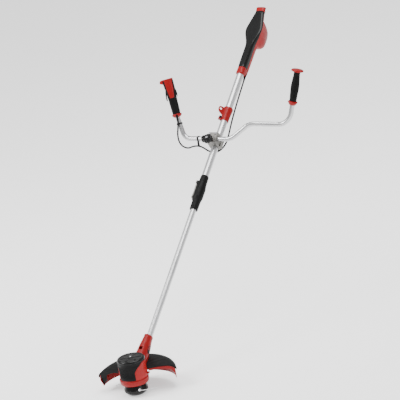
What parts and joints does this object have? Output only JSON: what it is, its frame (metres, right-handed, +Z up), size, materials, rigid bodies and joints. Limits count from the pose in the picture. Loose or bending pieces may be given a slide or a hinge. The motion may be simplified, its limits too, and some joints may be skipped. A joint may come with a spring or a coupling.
{
  "type": "brush cutter",
  "caption": "Battery brush cutter with motor in the head, bump spool, guard, splittable tube shaft, bike handle with trigger grip, harness eye and rear battery housing.",
  "frame": {"origin": "middle of the flat bump foot under the spool, where the machine touches the ground", "axes": "+Z up along the spindle, +Y from the cutting head to the rear housing and the operator, +X to the operator's left, the side of the long handlebar arm"},
  "size_m": [0.6577, 1.5408, 1.1542],
  "materials": {
    "red_plastic": "glossy moulded plastic",
    "black_plastic": "fine textured plastic",
    "black_rubber": "soft ribbed rubber",
    "tube_aluminium": "satin anodised",
    "cast_alloy": "bead blasted die casting",
    "steel": "bright zinc plated",
    "copper_iron": "laminated iron and copper",
    "line_nylon": "clear grey nylon",
    "cable_jacket": "smooth cable jacket",
    "board": "lacquered board"
  },
  "bodies": {
    "rear_half": {"upper_tube": "tube_aluminium", "coupling_body": "black_plastic", "shaft_socket": "black_plastic", "clamp_base": "cast_alloy", "clamp_lower": "cast_alloy", "bar_jaw": "cast_alloy", "clamp_screws": "steel", "rear_shell": "red_plastic", "rear_top_cover": "black_plastic", "rear_end_cap": "red_plastic", "battery_rail": "black_plastic", "battery_terminals": "steel", "control_board": "board", "cable_upper": "cable_jacket"},
    "lower_unit": {"lower_tube": "tube_aluminium", "shaft_plug": "black_plastic", "lower_lead": "cable_jacket", "head_shell_left": "red_plastic", "head_shell_right": "red_plastic", "motor_cap": "black_plastic", "cap_screw": "steel", "base_ring": "red_plastic", "stator": "copper_iron", "motor_bearings": "steel", "neck_screws": "steel", "guard_deck": "black_plastic", "guard_screws": "steel"},
    "skirt": {"guard_skirt": "red_plastic", "line_cutter": "steel"},
    "spool": {"spool_drum": "black_plastic", "spool_cap": "black_plastic", "line_eyelets": "steel", "spindle": "steel", "rotor": "copper_iron", "trimmer_line_a": "line_nylon", "trimmer_line_b": "line_nylon"},
    "bump": {"bump_button": "black_plastic", "line_reel": "black_plastic", "line_winding": "line_nylon", "bump_spring": "steel"},
    "lever": {"coupling_lever": "cast_alloy"},
    "lock_pin": {"lock_pin": "black_plastic"},
    "knob": {"clamp_knob": "black_plastic", "knob_bolt": "steel"},
    "handlebar": {"handlebar_tube": "tube_aluminium", "bar_sleeve": "black_rubber", "right_grip": "black_rubber", "right_grip_flange": "red_plastic", "right_collar": "red_plastic", "grip_shell_front": "black_plastic", "grip_shell_rear": "black_plastic", "grip_inlay": "red_plastic", "left_collar": "red_plastic", "trigger_switch": "black_plastic", "cable_lower": "cable_jacket", "cable_ties": "black_plastic"},
    "trigger": {"throttle_trigger": "black_plastic"},
    "lockoff": {"lockoff_lever": "black_plastic"},
    "harness": {"harness_bracket": "red_plastic", "harness_screw": "steel"}
  },
  "joints": [
    {"name": "spool_spin", "type": "hinge", "parent": "lower_unit", "child": "spool", "pos_m": [0, 0, 0.059], "axis": [0, 0, 1], "continuous": true},
    {"name": "bump_press", "type": "slide", "parent": "spool", "child": "bump", "axis": [0, 0, 1], "range_m": [0, 0.006], "stiffness_N_per_m": 700, "springref_m": -0.004, "deforming": ["bump_spring"]},
    {"name": "trigger_pull", "type": "hinge", "parent": "handlebar", "child": "trigger", "pos_m": [-0.21223, 0.94977, 0.95696], "axis": [0.4824, -0.8201, 0.3076], "range_deg": [0, 8], "stiffness_Nm_per_rad": 0.6, "springref_deg": -11.46},
    {"name": "lockoff_press", "type": "hinge", "parent": "handlebar", "child": "lockoff", "pos_m": [-0.18648, 0.96526, 0.95788], "axis": [-0.4824, 0.8201, -0.3076], "range_deg": [0, 7], "stiffness_Nm_per_rad": 0.4, "springref_deg": -11.46},
    {"name": "handlebar_tilt", "type": "hinge", "parent": "rear_half", "child": "handlebar", "pos_m": [0, 0.90751, 0.7579], "axis": [1, 0, 0], "range_deg": [-20, 20]},
    {"name": "knob_turn", "type": "hinge", "parent": "rear_half", "child": "knob", "pos_m": [-0.01, 0.88318, 0.76247], "axis": [0, -0.5878, 0.809], "range_deg": [0, 720]},
    {"name": "shaft_pull", "type": "slide", "parent": "rear_half", "child": "lower_unit", "axis": [0, -0.809, -0.5878], "range_m": [0, 0.1]},
    {"name": "lever_open", "type": "hinge", "parent": "rear_half", "child": "lever", "pos_m": [-0.0242, 0.76452, 0.61446], "axis": [0, 0.5878, -0.809], "range_deg": [0, 110]},
    {"name": "pin_lift", "type": "slide", "parent": "rear_half", "child": "lock_pin", "axis": [-1, 0, 0], "range_m": [0, 0.0035]},
    {"name": "harness_slide", "type": "slide", "parent": "rear_half", "child": "harness", "axis": [0, 0.809, 0.5878], "range_m": [-0.07, 0.025]},
    {"name": "skirt_release", "type": "slide", "parent": "lower_unit", "child": "skirt", "axis": [0, 0, -1], "range_m": [0, 0.05]}
  ],
  "couplings": [
    {"joint": "pin_lift", "follows": "lever_open", "m_per_rad": 0.00182}
  ]
}
